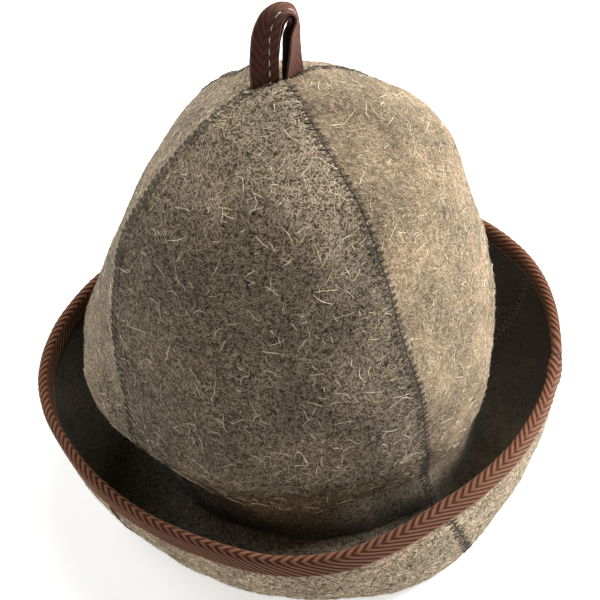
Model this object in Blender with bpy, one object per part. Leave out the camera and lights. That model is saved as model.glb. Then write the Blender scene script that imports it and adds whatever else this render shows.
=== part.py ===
"""Sauna hat: four felt gores, a brim turned up all round, a taped edge and a hanging loop.

The hat stands on its turned fold, with its front towards -Y and +X on its right.
The measures below are in millimetres and degrees. The model is in metres, +Z up.
A heading is the direction from the hat's middle: 0 at the front, 90 on the right, 180 behind.
"""
from collections import namedtuple
from math import cos, degrees, pi, radians, sin

import bmesh
import bpy
from mathutils import Vector

MM = 0.001

# Felt
FELT_THICKNESS = 3.0
SEAM_GAP = 0.3              # clear between the cut edges of two gores
LOOP_SLOT = 3.4             # the same where a leg of the loop passes between them
LOOP_SLOT_REACH = 15.0      # how far down the seam from the tip the slot runs
COLUMNS = 12                # faces across a gore
CROWN_ROWS = 21             # and down it: crown, fold and brim
FOLD_ROWS = 6
BRIM_ROWS = 10

# Turned fold and brim
FOLD_CORNER = 8.0           # the bend from the crown's wall to the flat where the hat stands
FOLD_CORNER_SHARE = 0.6     # the most that the bend may take of the way to the brim
FOLD_REACH = 20.0           # how far the flat pulls the brim's curve outwards
LIP_REACH = 22.0            # how far the lip's lean carries down the brim

# Edge binding: a twill tape folded over the brim's edge
TAPE_THICKNESS = 0.8
TAPE_GAP = 0.3
TAPE_DEPTH = 9.0

# Hanging loop: the same tape folded lengthwise
LOOP_WIDTH = 12.2
LOOP_THICKNESS = 2.4
LOOP_EDGE_SHARE = 0.72      # thickness left at the band's two long edges
LOOP_COLUMNS = 4
LOOP_ROWS = 36

# Moves the hat so that the box around it stands on the origin
CENTRE_RIGHT = -0.15
CENTRE_BACK = -1.45

# Crown, level by level from the tip to the turn. The middle of a gore lies inside the line of its
# seams by the inset, and the shifts move the whole level.
Level = namedtuple("Level", "height seam_radius inset shift_right shift_back")
CROWN = (
    Level(215.0, 2.8, 0.5, 0.0, -0.5),
    Level(212.5, 17.0, 3.0, -1.0, 0.5),
    Level(202.0, 36.5, 3.0, -1.0, 1.0),
    Level(182.5, 60.5, 3.0, 0.0, 3.0),
    Level(155.0, 80.0, 5.5, -3.0, 4.5),
    Level(120.5, 93.0, 4.5, -5.0, 2.0),
    Level(86.5, 97.0, 2.5, -3.5, -0.5),
    Level(60.5, 97.0, 1.5, -3.5, -1.0),
    Level(32.5, 87.0, 2.0, 3.0, -2.5),
    Level(9.5, 88.5, 3.5, 6.5, 1.0),
)

# Brim, heading by heading, evenly spaced. The radii and the height are those of the felt's middle.
Heading = namedtuple("Heading", "degrees fold_radius rim_radius rim_height lip_lean")
BRIM = (
    Heading(0, 104.0, 128.5, 51.0, 1.0),
    Heading(30, 112.0, 121.5, 55.0, -3.0),
    Heading(60, 102.0, 123.0, 53.5, -4.0),
    Heading(90, 104.0, 131.0, 52.0, -11.0),
    Heading(120, 107.0, 142.5, 50.0, -13.0),
    Heading(150, 105.0, 142.0, 47.5, -10.0),
    Heading(180, 98.0, 129.0, 46.5, -4.0),
    Heading(210, 97.0, 128.5, 46.5, 2.0),
    Heading(240, 98.5, 132.5, 47.5, 7.0),
    Heading(270, 101.0, 133.5, 50.0, 10.0),
    Heading(300, 99.0, 127.5, 54.0, 9.0),
    Heading(330, 98.0, 125.5, 51.5, 7.0),
)

# Gores, each from the seam on its left to the seam on its right as seen from outside. The bulges
# push a gore's middle out, high on the crown and low down.
Gore = namedtuple("Gore", "name seam_at_rim seam_at_base seam_at_tip high_bulge low_bulge holds_loop")
GORES = (
    Gore("panel_front", -50.0, -47.0, -77.0, 0.0, 0.0, True),
    Gore("panel_right", 28.0, 38.5, 25.0, 9.5, 1.5, False),
    Gore("panel_back", 116.0, 112.0, 132.0, 0.0, 0.0, True),
    Gore("panel_left", 208.0, 210.0, 210.0, -10.5, 12.0, False),
)
HIGH_BULGE_END = 0.75       # share of the crown's length that the high bulge spans
LOW_BULGE_AT = 0.76
LOW_BULGE_HALF = 0.25
RIDGE_SHARPNESS = 0.8       # below 1 the seams stand up as ridges
SEAM_CURL = 1.5             # above 1 a seam bends more near the tip than low down

# Loop's middle line, from the leg in the front seam over the top to the leg in the back seam.
# The turn is the direction from the tape's folded edge to its open edge, 0 towards +X, and the
# spread is how far the two halves of the folded tape stand apart at the open edge.
LoopPoint = namedtuple("LoopPoint", "right back height turn spread")
LOOP = (
    LoopPoint(-8.0, -1.8, 210.5, 9.0, 2.4),
    LoopPoint(-8.0, -1.8, 216.0, 8.5, 2.4),
    LoopPoint(-8.2, -2.0, 223.0, 3.0, 2.6),
    LoopPoint(-8.0, -2.1, 231.0, -9.0, 2.8),
    LoopPoint(-7.0, -1.6, 239.5, -24.0, 3.0),
    LoopPoint(-4.0, 0.0, 246.0, -50.0, 2.8),
    LoopPoint(0.4, 1.8, 248.5, -66.0, 2.6),
    LoopPoint(4.0, 2.8, 246.0, -76.0, 3.6),
    LoopPoint(4.7, 3.2, 239.0, -82.0, 5.4),
    LoopPoint(3.9, 3.5, 230.0, -92.0, 5.8),
    LoopPoint(4.0, 3.9, 221.5, -117.0, 3.6),
    LoopPoint(4.8, 4.5, 216.0, -131.5, 2.4),
    LoopPoint(4.8, 4.5, 210.5, -132.0, 2.4),
)

FELT_COLOUR = (0.30, 0.25, 0.19, 1.0)
TAPE_COLOUR = (0.16, 0.07, 0.05, 1.0)
FELT_ROUGHNESS = 0.95
TAPE_ROUGHNESS = 0.75


def spline(rows, position, closed=False):
    """A smooth curve through the rows of a table, read at a position counted in rows."""
    last = len(rows) if closed else len(rows) - 1
    index = int(position // 1) if closed else min(max(int(position), 0), last - 1)
    part = position - index

    def row(number):
        return rows[number % len(rows)] if closed else rows[min(max(number, 0), last)]

    before, start, end, after = (row(index + step) for step in (-1, 0, 1, 2))
    return type(rows[0])(*(
        value if isinstance(value, str) else 0.5 * (
            2 * value + (following - previous) * part
            + (2 * previous - 5 * value + 4 * following - beyond) * part ** 2
            + (3 * value - previous - 3 * following + beyond) * part ** 3)
        for previous, value, following, beyond in zip(before, start, end, after)))


def bezier(points, part):
    """A point on the cubic curve of four control points."""
    rest = 1 - part
    weights = (rest ** 3, 3 * rest ** 2 * part, 3 * rest * part ** 2, part ** 3)
    return sum((weight * point for weight, point in zip(weights, points)), Vector((0, 0, 0)))


def at_heading(radius, heading, height):
    """A point at a radius and a heading, in the hat's own frame."""
    return Vector((radius * sin(heading), -radius * cos(heading), height))


def seam_heading(seam, rise):
    """A seam's heading in degrees. The rise is 1 at the tip, 0 at the turn and -1 at the rim."""
    gore = GORES[seam % len(GORES)]
    end = gore.seam_at_tip if rise > 0 else gore.seam_at_rim
    share = abs(rise) ** SEAM_CURL
    return 360.0 * (seam // len(GORES)) + gore.seam_at_base + (end - gore.seam_at_base) * share


def heading_round(turn, rise):
    """The heading of a place round the hat. A turn of 1 is one gore, and its seam is a whole number."""
    number = int(turn // 1)
    across = turn - number
    return radians(seam_heading(number, rise) * (1 - across) + seam_heading(number + 1, rise) * across)


def crown_point(turn, down):
    """The felt's middle on the crown, from the tip at 0 to the turn at 1."""
    level = spline(CROWN, down * (len(CROWN) - 1))
    gore = GORES[int(turn // 1) % len(GORES)]
    rise = sin(pi * (turn % 1))
    high = sin(pi * min(down / HIGH_BULGE_END, 1.0)) * gore.high_bulge
    low = max(1 - ((down - LOW_BULGE_AT) / LOW_BULGE_HALF) ** 2, 0.0) ** 1.5 * gore.low_bulge
    radius = level.seam_radius - level.inset * rise ** RIDGE_SHARPNESS + (high + low) * rise
    heading = heading_round(turn, level.height / CROWN[0].height)
    return at_heading(radius, heading, level.height) + Vector((level.shift_right, level.shift_back, 0))


def brim_point(turn, up):
    """The felt's middle on the brim, from the flat at 0 to the rim at 1."""
    heading = heading_round(turn, -up)
    here = spline(BRIM, degrees(heading) / BRIM[1].degrees, closed=True)
    lean = radians(here.lip_lean)
    floor = FELT_THICKNESS / 2
    section = (
        (here.fold_radius, floor),
        (here.fold_radius + FOLD_REACH, floor),
        (here.rim_radius - LIP_REACH * sin(lean), here.rim_height - LIP_REACH * cos(lean)),
        (here.rim_radius, here.rim_height),
    )
    return bezier([at_heading(radius, heading, height) for radius, height in section], up)


def fold_point(turn, along):
    """The felt's middle from the crown's wall round its bend and over the flat to the brim."""
    wall, brim = crown_point(turn, 1.0), brim_point(turn, 0.0)
    way = Vector((brim.x - wall.x, brim.y - wall.y, 0))
    bend = min(FOLD_CORNER, way.length * FOLD_CORNER_SHARE)
    if along > FOLD_CORNER_SHARE:
        share = (along - FOLD_CORNER_SHARE) / (1 - FOLD_CORNER_SHARE)
        start = brim - way * (1 - bend / way.length)
        return start.lerp(brim, share)
    drop = Vector((0, 0, brim.z - wall.z))
    outward = way.normalized() * bend
    return bezier((wall, wall + drop * 0.55, wall + drop + outward * 0.45, wall + drop + outward),
                  along / FOLD_CORNER_SHARE)


def felt_middle(turn, place):
    """The felt's middle. The place runs 0 to 1 down the crown, to 2 over the fold, to 3 up the brim."""
    if place < 1:
        return crown_point(turn, place)
    if place < 2:
        return fold_point(turn, place - 1)
    return brim_point(turn, place - 2)


def felt_normal(turn, place):
    """The outward normal of the felt's middle."""
    step = 0.004
    low, high = max(place - step, 0.0), place + step
    across = felt_middle(turn + step, place) - felt_middle(turn - step, place)
    down = felt_middle(turn, high) - felt_middle(turn, low)
    return down.cross(across).normalized()


def felt_point(turn, place, offset, normal_turn=None):
    """A point of the felt, offset outwards from its middle, never under the surface it stands on."""
    normal = felt_normal(turn if normal_turn is None else normal_turn, place)
    point = felt_middle(turn, place) + normal * offset
    point.z = max(point.z, 0.0)
    return point


def felt_places():
    """The rows of a gore, from the tip to the rim, closer together where the binding holds the edge."""
    tape_share = TAPE_DEPTH / (3 * LIP_REACH)
    crown = [row / CROWN_ROWS for row in range(CROWN_ROWS)]
    fold = [1 + row / FOLD_ROWS for row in range(FOLD_ROWS)]
    brim = [2 + (1 - tape_share) * row / (BRIM_ROWS - 2) for row in range(BRIM_ROWS - 1)]
    return crown + fold + brim + [3 - tape_share / 2, 3.0]


def slab(columns, rows):
    """A flat slab, one unit each way, with its two broad faces gridded."""
    mesh = bmesh.new()
    bmesh.ops.create_grid(mesh, x_segments=columns, y_segments=rows, size=0.5)
    lower = bmesh.ops.extrude_face_region(mesh, geom=mesh.faces[:], use_keep_orig=True)
    moved = [item for item in lower["geom"] if isinstance(item, bmesh.types.BMVert)]
    bmesh.ops.translate(mesh, verts=moved, vec=(0, 0, -1))
    bmesh.ops.recalc_face_normals(mesh, faces=mesh.faces[:])
    return mesh


def bend(mesh, columns, rows, rule):
    """Puts each corner of a gridded mesh in its place by its column, its row and its depth."""
    for vert in mesh.verts:
        column = round((vert.co.x + 0.5) * columns)
        row = round((0.5 - vert.co.y) * rows)
        place = rule(column, row, vert.co.z < -0.5)
        vert.co = (place + Vector((CENTRE_RIGHT, CENTRE_BACK, 0))) * MM


def gore_mesh(number):
    """One gore with its share of the brim: a sheet of felt as thick as the real one."""
    places = felt_places()
    rows = len(places) - 1
    half_angle = radians(seam_heading(number + 1, 1.0) - seam_heading(number, 1.0)) / 2
    slot = LOOP_SLOT / cos(half_angle)

    def clearance(seam, place):
        """Half the gap at a seam, as a share of the gore's width there."""
        left, right = felt_middle(number, place), felt_middle(number + 1, place)
        from_tip = (felt_middle(seam, place) - felt_middle(seam, 0.0)).length
        slotted = GORES[seam % len(GORES)].holds_loop and from_tip < LOOP_SLOT_REACH
        gap = slot if slotted else SEAM_GAP
        return min(gap / 2 / max((right - left).length, gap), 0.42)

    def rule(column, row, inside):
        place = places[row]
        offset = -FELT_THICKNESS / 2 if inside else FELT_THICKNESS / 2
        left, right = clearance(number, place), clearance(number + 1, place)
        turn = number + left + (1 - left - right) * column / COLUMNS
        seam = {0: number, COLUMNS: number + 1}.get(column)
        return felt_point(turn, place, offset, seam)

    mesh = slab(COLUMNS, rows)
    bend(mesh, COLUMNS, rows, rule)
    return mesh


def binding_mesh():
    """The tape round the whole rim: a channel that holds the felt's edge."""
    inner = FELT_THICKNESS / 2 + TAPE_GAP
    outer = inner + TAPE_THICKNESS
    share = 1 / (3 * LIP_REACH)
    low, half, felt_edge = 3 - TAPE_DEPTH * share, 3 - TAPE_DEPTH * share / 2, 3.0
    clear, top = 3 + TAPE_GAP * share, 3 + (TAPE_GAP + TAPE_THICKNESS) * share
    section = (
        (low, outer), (half, outer), (felt_edge, outer), (top, outer * 0.6),
        (top, -outer * 0.6), (felt_edge, -outer), (half, -outer), (low, -outer),
        (low, -inner), (half, -inner), (clear, -inner), (clear, inner), (half, inner), (low, inner),
    )
    around = COLUMNS * len(GORES)

    def rule(column, row, _inside):
        place, offset = section[row % len(section)]
        return felt_point(column % around / COLUMNS, place, offset)

    mesh = bmesh.new()
    bmesh.ops.create_grid(mesh, x_segments=around, y_segments=len(section), size=0.5)
    bend(mesh, around, len(section), rule)
    bmesh.ops.remove_doubles(mesh, verts=mesh.verts[:], dist=1e-6)
    bmesh.ops.recalc_face_normals(mesh, faces=mesh.faces[:])
    return mesh


def loop_mesh():
    """The hanging loop: a flat band that turns as it goes over, with its legs in the slots."""
    def rule(column, row, inside):
        position = (len(LOOP) - 1) * row / LOOP_ROWS
        here = spline(LOOP, position)
        ahead, behind = spline(LOOP, position + 0.02), spline(LOOP, max(position - 0.02, 0.0))
        middle = Vector((here.right, here.back, here.height))
        along = Vector((ahead.right - behind.right, ahead.back - behind.back, ahead.height - behind.height))
        along.normalize()
        across = Vector((cos(radians(here.turn)), sin(radians(here.turn)), 0))
        across = (across - along * across.dot(along)).normalized()
        outward = along.cross(across)
        share = column / LOOP_COLUMNS - 0.5
        rounding = 1 - (1 - LOOP_EDGE_SHARE) * (2 * share) ** 2
        thickness = LOOP_THICKNESS * rounding + (here.spread - LOOP_THICKNESS) * (0.5 + share)
        return middle + across * LOOP_WIDTH * share + outward * thickness * (-0.5 if inside else 0.5)

    mesh = slab(LOOP_COLUMNS, LOOP_ROWS)
    bend(mesh, LOOP_COLUMNS, LOOP_ROWS, rule)
    return mesh


def finish(name):
    """A material in the colour of the sub-part's cloth."""
    felt = name.startswith("panel")
    material = bpy.data.materials.new(name)
    material.use_nodes = True
    shader = material.node_tree.nodes["Principled BSDF"]
    shader.inputs["Base Color"].default_value = FELT_COLOUR if felt else TAPE_COLOUR
    shader.inputs["Roughness"].default_value = FELT_ROUGHNESS if felt else TAPE_ROUGHNESS
    shader.inputs["Metallic"].default_value = 0.0
    return material


def add_part(name, mesh):
    """Makes a named object from a finished bmesh."""
    data = bpy.data.meshes.new(name)
    mesh.to_mesh(data)
    mesh.free()
    data.shade_smooth()
    data.set_sharp_from_angle(angle=radians(40))
    part = bpy.data.objects.new(name, data)
    part.data.materials.append(finish(name))
    bpy.context.collection.objects.link(part)
    return part


def main():
    """Builds the hat."""
    for old in list(bpy.data.objects):
        bpy.data.objects.remove(old, do_unlink=True)
    for number, gore in enumerate(GORES):
        add_part(gore.name, gore_mesh(number))
    add_part("edge_binding", binding_mesh())
    add_part("hanging_loop", loop_mesh())


main()
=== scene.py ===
"""Sauna hat in grey-brown wool felt, with a herringbone twill binding and a hanging loop.

Measures are in millimetres and degrees, and the model is in metres, +Z up, its front towards -Y.
A heading is the direction from the hat's middle: 0 at the front, 90 on the right, 180 behind.
The felt's outer face is the crown's outside. Past the fold it faces the crown across the gap.
"""
from collections import namedtuple
from math import cos, pi, radians, sin

import bmesh
import bpy
import numpy as np
from mathutils import Matrix, Vector


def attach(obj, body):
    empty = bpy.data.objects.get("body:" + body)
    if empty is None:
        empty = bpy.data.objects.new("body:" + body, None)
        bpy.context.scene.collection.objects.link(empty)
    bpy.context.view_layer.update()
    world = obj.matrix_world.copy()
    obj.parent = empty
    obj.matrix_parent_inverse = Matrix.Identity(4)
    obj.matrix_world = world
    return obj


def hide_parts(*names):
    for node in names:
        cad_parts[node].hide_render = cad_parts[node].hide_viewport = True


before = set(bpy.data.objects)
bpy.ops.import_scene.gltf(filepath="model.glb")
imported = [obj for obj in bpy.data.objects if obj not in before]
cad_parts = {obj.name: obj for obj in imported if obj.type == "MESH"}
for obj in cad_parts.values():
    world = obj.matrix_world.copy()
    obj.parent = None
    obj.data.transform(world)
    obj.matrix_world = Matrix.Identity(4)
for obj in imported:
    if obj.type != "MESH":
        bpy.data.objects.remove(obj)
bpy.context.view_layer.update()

MM = 0.001

# Felt
FELT_THICKNESS = 3.0
FELT_COLUMNS = 48
FELT_ROWS = 296
EDGE_CROWDING = 0.72  # how much closer together the columns lie beside a seam
SEAM_GAP = 0.12
EDGE_PINCH = 0.24  # share of its thickness that the felt loses at a cut edge
EDGE_REACH = 1.6
HOLE_DEPTH, HOLE_REACH = 0.35, 0.9  # the dimples that the zigzag pulls into the felt
SHARED_REACH = 2.5  # how far from a seam its two gores face the same way
LEG_GAP = 2.5  # gap between two gores where a leg of the loop comes out
LEG_FROM, LEG_TO = 1.6, 14.4  # where that gap begins and ends, down the seam from the tip
LEG_EASE = 1.5  # how far it takes to open or close
WIDEST_GAP = 0.44  # the most that it takes of a gore's width on each side

# Tone of the felt, as a share of the wool's own colour, much of it painted shade and painted light
GAP_TOP, GAP_FULL = 29.0, 13.0  # heights between which painted shade darkens the felt in the gap
GAP_SHADE, GAP_DARKEST = 0.34, 0.06  # what the felt keeps of its tone under that painted shade, at the front and behind
GAP_FRONT, GAP_FOCUS = radians(10), 3.5  # the middle of that front part, and how narrow it is
LIT_WALL_AT, LIT_WALL_REACH = 47.0, 14.0  # a band of painted light low on the crown, over the gap, where the wall turns under into shade
LIT_WALL_TONE = 1.35
SHADY_UP_TO, TIP_TONE = 150.0, 0.62  # above this height each gore's tone turns into the tip's: the front gore's painted shade gives way to a lighter tip, where more light falls
BACK_TONE, BACK_GRAIN = 0.89, 1.4  # the felt's other face, inside the crown and outside the brim
CLOTH_SPACING = 200.0  # between the patches of one wool pattern that the felt's faces are cut from

# Turned fold and brim
FOLD_CORNER = 8.0
FOLD_CORNER_SHARE = 0.6
FOLD_DOWN, FOLD_OUT = 0.55, 0.45  # how far the two ends of the fold's bend pull on it
FOLD_REACH = 20.0
LIP_REACH = 22.0

# Edge binding and hanging loop, of one herringbone tape
TAPE_THICKNESS = 0.85
TAPE_DEPTH = 9.0  # how far the tape reaches down from the felt's edge on each side
TAPE_SEAT = 0.4  # how far it is drawn down onto that edge
RIB_PITCH = 4.7
RIB_SLOPE = 1.45  # how far a rib runs along the tape for each millimetre across it
RIB_STEPS = 10
RIB_HEIGHT = 0.36
RIB_SUNK = 0.6  # share of that height that lies below the tape's face
YARN_TWIST = 0.9  # between two turns of the yarn's spin
RIM_RADIUS = 130.0  # on average, to turn headings at the rim into lengths
SPINE_MIDDLE, SPINE_SWAY, SPINE_HEADING = -0.6, 2.4, radians(40)  # where the ribs meet, off the edge
LAP_HEADING = radians(82.5)  # where the binding's folded end lies over its start
LAP_REACH = 14.0
LAP_LIFT, LAP_EASE = 0.7, 6.0
LAP_DRIFT, LAP_DRIFT_FADE = 3.6, 0.9  # how far the ribs' meeting line jumps past the lap, and its fading
LOOP_WIDTH = 12.2
LOOP_THICKNESS = 2.4
LOOP_SPINE = 5.2  # where the ribs meet on each layer of the loop, from its fold
LOOP_RELIEF = 0.25  # how much of the ribs' height is left on the loop

# Zigzag seams
ZIGZAG_STEP = 1.6
ZIGZAG_HALF = 3.7
THREAD_RADIUS = 0.27
THREAD_POINTS = 8
STEP_SPREAD, SHIFT_SPREAD, SLANT_SPREAD, WANDER = 0.12, 0.2, 0.25, 0.07  # how uneven the stitches are
WIDTH_SPREAD, THREAD_SPREAD, BURIED = (0.86, 1.1), (0.7, 1.15), (-0.25, 0.3)
SEAM_START = 6.0  # the first stitch of a seam without a leg, down from the tip
END_DEPTH = 0.9  # how deep a stitch's two ends go into the felt
JOINT_DIP, JOINT_DIP_HALF = 0.25, 0.25  # its dip over the joint, deep and as a share of its half width

# Running stitch round the loop
RUNNING_FROM, RUNNING_STEP, RUNNING_LENGTH = 4.0, 5.6, 3.6
RUNNING_ASIDE = 0.64  # share of the loop's width, from its fold
RUNNING_RADIUS = 0.16
INNER_RUNNING_TO = 0.56  # how far round the loop it shows on the inner layer

# From the middle of the crown's turn to the middle of the whole hat's box
CENTRE_RIGHT = -0.15
CENTRE_BACK = -1.45

# Crown, level by level from the tip to the turn
Level = namedtuple("Level", "height seam_radius inset shift_right shift_back")
CROWN = (
    Level(215.2, 0.7, 0.1, 0.0, -0.5),
    Level(212.5, 17.0, 3.0, -1.0, 0.5),
    Level(202.0, 36.5, 3.0, -1.0, 1.0),
    Level(182.5, 60.5, 3.0, 0.0, 3.0),
    Level(155.0, 80.0, 5.5, -3.0, 4.5),
    Level(120.5, 93.0, 4.5, -5.0, 2.0),
    Level(86.5, 97.0, 2.5, -3.5, -0.5),
    Level(60.5, 97.0, 1.5, -3.5, -1.0),
    Level(32.5, 87.0, 2.0, 3.0, -2.5),
    Level(9.5, 88.5, 3.5, 6.5, 1.0),
)

# Brim, heading by heading, evenly spaced
Heading = namedtuple("Heading", "degrees fold_radius rim_radius rim_height lip_lean")
BRIM = (
    Heading(0, 104.0, 128.5, 51.0, 1.0),
    Heading(30, 112.0, 121.5, 55.0, -3.0),
    Heading(60, 102.0, 123.0, 53.5, -4.0),
    Heading(90, 104.0, 131.0, 52.0, -11.0),
    Heading(120, 107.0, 142.5, 50.0, -13.0),
    Heading(150, 105.0, 142.0, 47.5, -10.0),
    Heading(180, 98.0, 129.0, 46.5, -4.0),
    Heading(210, 97.0, 128.5, 46.5, 2.0),
    Heading(240, 98.5, 132.5, 47.5, 7.0),
    Heading(270, 101.0, 133.5, 50.0, 10.0),
    Heading(300, 99.0, 127.5, 54.0, 9.0),
    Heading(330, 98.0, 125.5, 51.5, 7.0),
)

# Gores, each from the seam on its left to the seam on its right as seen from outside
Gore = namedtuple("Gore", "name seam_at_rim seam_at_base seam_at_tip high_bulge low_bulge "
                          "holds_loop zigzag_shift tone grain hairs")
# A gore's tone is partly the felt's own and partly painted shade: the front gore, which lies in shade, is
# painted darkest
GORES = (
    Gore("front", -50.0, -47.0, -77.0, 0.0, 0.0, 1, 1.3, 0.36, 1.6, 720),
    Gore("right", 28.0, 38.5, 25.0, 9.5, 1.5, 0, 0.0, 0.90, 0.56, 600),
    Gore("back", 116.0, 112.0, 132.0, 0.0, 0.0, 1, -1.3, 0.93, 0.8, 600),
    Gore("left", 208.0, 210.0, 210.0, -10.5, 8.3, 0, 0.0, 0.55, 1.5, 380),
)
HIGH_BULGE_END = 0.75  # these three are shares of the way down the crown
LOW_BULGE_AT = 0.76
LOW_BULGE_HALF = 0.25
RIDGE_SHARPNESS = 0.8
SEAM_CURL = 1.5

# Loop's middle line, from the leg in the front seam over the top to the leg in the back seam
LoopPoint = namedtuple("LoopPoint", "right back height turn spread")
LOOP = (
    LoopPoint(-8.0, -1.8, 210.5, 9.0, 2.4),
    LoopPoint(-8.0, -1.8, 216.0, 8.5, 2.4),
    LoopPoint(-7.9, -2.0, 223.0, 3.0, 2.6),
    LoopPoint(-7.2, -2.1, 231.0, -8.0, 2.8),
    LoopPoint(-5.9, -1.6, 239.5, -22.0, 3.0),
    LoopPoint(-2.6, 0.0, 246.4, -42.0, 2.8),
    LoopPoint(2.0, 1.8, 248.8, -66.0, 2.6),
    LoopPoint(5.3, 2.9, 246.2, -90.0, 3.6),
    LoopPoint(5.4, 3.3, 239.5, -112.0, 4.2),
    LoopPoint(5.0, 3.6, 230.0, -118.0, 3.8),
    LoopPoint(4.7, 3.9, 221.5, -126.0, 3.2),
    LoopPoint(4.8, 4.5, 216.0, -131.5, 2.4),
    LoopPoint(4.8, 4.5, 210.5, -132.0, 2.4),
)


def smooth(rows, position, closed=False):
    """Smooth curves through the rows of a table, read at positions counted in rows."""
    table = np.array(rows, float)
    position = np.asarray(position, float)
    last = len(table) if closed else len(table) - 1
    index = np.floor(position).astype(int)
    if not closed:
        index = np.clip(index, 0, last - 1)
    part = (position - index)[..., None]

    def row(number):
        return table[number % len(table)] if closed else table[np.clip(number, 0, last)]

    before, start, end, after = (row(index + step) for step in (-1, 0, 1, 2))
    values = 0.5 * (2 * start + (end - before) * part
                    + (2 * before - 5 * start + 4 * end - after) * part ** 2
                    + (3 * start - before - 3 * end + after) * part ** 3)
    return type(rows[0])(*np.moveaxis(values, -1, 0))


def ease(part):
    """A smooth step from 0 to 1."""
    return part * part * (3 - 2 * part)


def bezier(points, part):
    """Points on the cubic curve of four control points."""
    rest = 1 - part
    weights = (rest ** 3, 3 * rest ** 2 * part, 3 * rest * part ** 2, part ** 3)
    return sum(weight[..., None] * point for weight, point in zip(weights, points))


def unit(vectors):
    """The vectors at length 1."""
    return vectors / np.maximum(np.linalg.norm(vectors, axis=-1, keepdims=True), 1e-9)


def at_heading(radius, heading, height):
    """Points at a radius and a heading, in the hat's own frame."""
    places = np.broadcast_arrays(radius * np.sin(heading), -radius * np.cos(heading), height)
    return np.stack(places, axis=-1)


def of_gore(number, field):
    """A field of the gore table, for whole numbers counted on round the hat."""
    return np.array([getattr(gore, field) for gore in GORES], float)[np.asarray(number) % len(GORES)]


def seam_heading(seam, rise):
    """A seam's heading. The rise is 1 at the tip, 0 at the turn and -1 at the rim."""
    base = of_gore(seam, "seam_at_base")
    end = np.where(rise > 0, of_gore(seam, "seam_at_tip"), of_gore(seam, "seam_at_rim"))
    return 360.0 * (seam // len(GORES)) + base + (end - base) * np.abs(rise) ** SEAM_CURL


def heading_round(turn, rise):
    """The heading of a place round the hat. A turn of 1 is one gore, and its seam is a whole number."""
    number = np.floor(turn).astype(int)
    across = turn - number
    return np.radians(seam_heading(number, rise) * (1 - across) + seam_heading(number + 1, rise) * across)


def crown_point(turn, down):
    """The felt's middle on the crown, from the tip at 0 to the turn at 1."""
    level = smooth(CROWN, down * (len(CROWN) - 1))
    number = np.floor(turn).astype(int)
    rise = np.clip(np.sin(pi * (turn % 1)), 0, 1)
    high = np.sin(pi * np.minimum(down / HIGH_BULGE_END, 1.0)) * of_gore(number, "high_bulge")
    low = (np.maximum(1 - ((down - LOW_BULGE_AT) / LOW_BULGE_HALF) ** 2, 0.0) ** 1.5
           * of_gore(number, "low_bulge"))
    radius = level.seam_radius - level.inset * rise ** RIDGE_SHARPNESS + (high + low) * rise
    points = at_heading(radius, heading_round(turn, level.height / CROWN[0].height), level.height)
    return points + np.stack([level.shift_right, level.shift_back, 0 * level.height], axis=-1)


def brim_point(turn, up):
    """The felt's middle on the brim, from the flat at 0 to the rim at 1."""
    heading = heading_round(turn, -up)
    here = smooth(BRIM, np.degrees(heading) / BRIM[1].degrees, closed=True)
    lean = np.radians(here.lip_lean)
    floor = FELT_THICKNESS / 2
    section = (
        (here.fold_radius, floor),
        (here.fold_radius + FOLD_REACH, floor),
        (here.rim_radius - LIP_REACH * np.sin(lean), here.rim_height - LIP_REACH * np.cos(lean)),
        (here.rim_radius, here.rim_height),
    )
    return bezier([at_heading(radius, heading, height) for radius, height in section], up)


def fold_point(turn, along):
    """The felt's middle from the crown's wall round its bend and over the flat to the brim."""
    wall = crown_point(turn, np.ones_like(turn))
    brim = brim_point(turn, np.zeros_like(turn))
    way = (brim - wall) * (1, 1, 0)
    length = np.linalg.norm(way, axis=-1, keepdims=True)
    bend = np.minimum(FOLD_CORNER, length * FOLD_CORNER_SHARE)
    drop, outward = (brim - wall) * (0, 0, 1), way / length * bend
    corner = bezier((wall, wall + drop * FOLD_DOWN, wall + drop + outward * FOLD_OUT,
                     wall + drop + outward), np.minimum(along / FOLD_CORNER_SHARE, 1.0))
    share = ((along - FOLD_CORNER_SHARE) / (1 - FOLD_CORNER_SHARE))[..., None]
    start = brim - way * (1 - bend / length)
    return np.where(share > 0, start + (brim - start) * share, corner)


def felt_middle(turn, place):
    """The felt's middle. The place runs 0 to 1 down the crown, to 2 over the fold, to 3 up the brim."""
    turn, place = np.broadcast_arrays(np.asarray(turn, float), np.asarray(place, float))
    crown = crown_point(turn, np.clip(place, 0, 1))
    fold = fold_point(turn, np.clip(place - 1, 0, 1))
    brim = brim_point(turn, np.maximum(place - 2, 0))
    return np.where((place < 1)[..., None], crown, np.where((place < 2)[..., None], fold, brim))


def felt_normal(turn, place):
    """The outward normal of the felt's middle."""
    step = 0.004
    across = felt_middle(turn + step, place) - felt_middle(turn - step, place)
    down = felt_middle(turn, place + step) - felt_middle(turn, np.maximum(place - step, 0.0))
    return unit(np.cross(down, across))


# Soft waves in the felt: length across a wave, height, and how many run each way
Wave = namedtuple("Wave", "length height count")
WAVES = (Wave(85.0, 0.55, 6), Wave(38.0, 0.22, 9), Wave(17.0, 0.07, 10))
WAVE_SPREAD = 0.75, 1.3  # the shortest and longest wave of a row, as shares of its length
CALM_FROM, CALM_REACH, CALM_SHARE = 2.3, 0.5, 0.8  # how the waves die down towards the rim


def felt_waves(points, place):
    """How far the felt stands out of its smooth form. The binding holds it even at the rim."""
    dice = np.random.default_rng(11)
    lift = np.zeros(points.shape[:-1])
    for wave in WAVES:
        for _ in range(wave.count):
            way = unit(dice.normal(size=3)) * 2 * pi / (wave.length * dice.uniform(*WAVE_SPREAD))
            lift += wave.height * np.sin(points @ way + dice.uniform(0, 2 * pi))
    return lift * (1 - CALM_SHARE * np.clip((place - CALM_FROM) / CALM_REACH, 0, 1))


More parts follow.
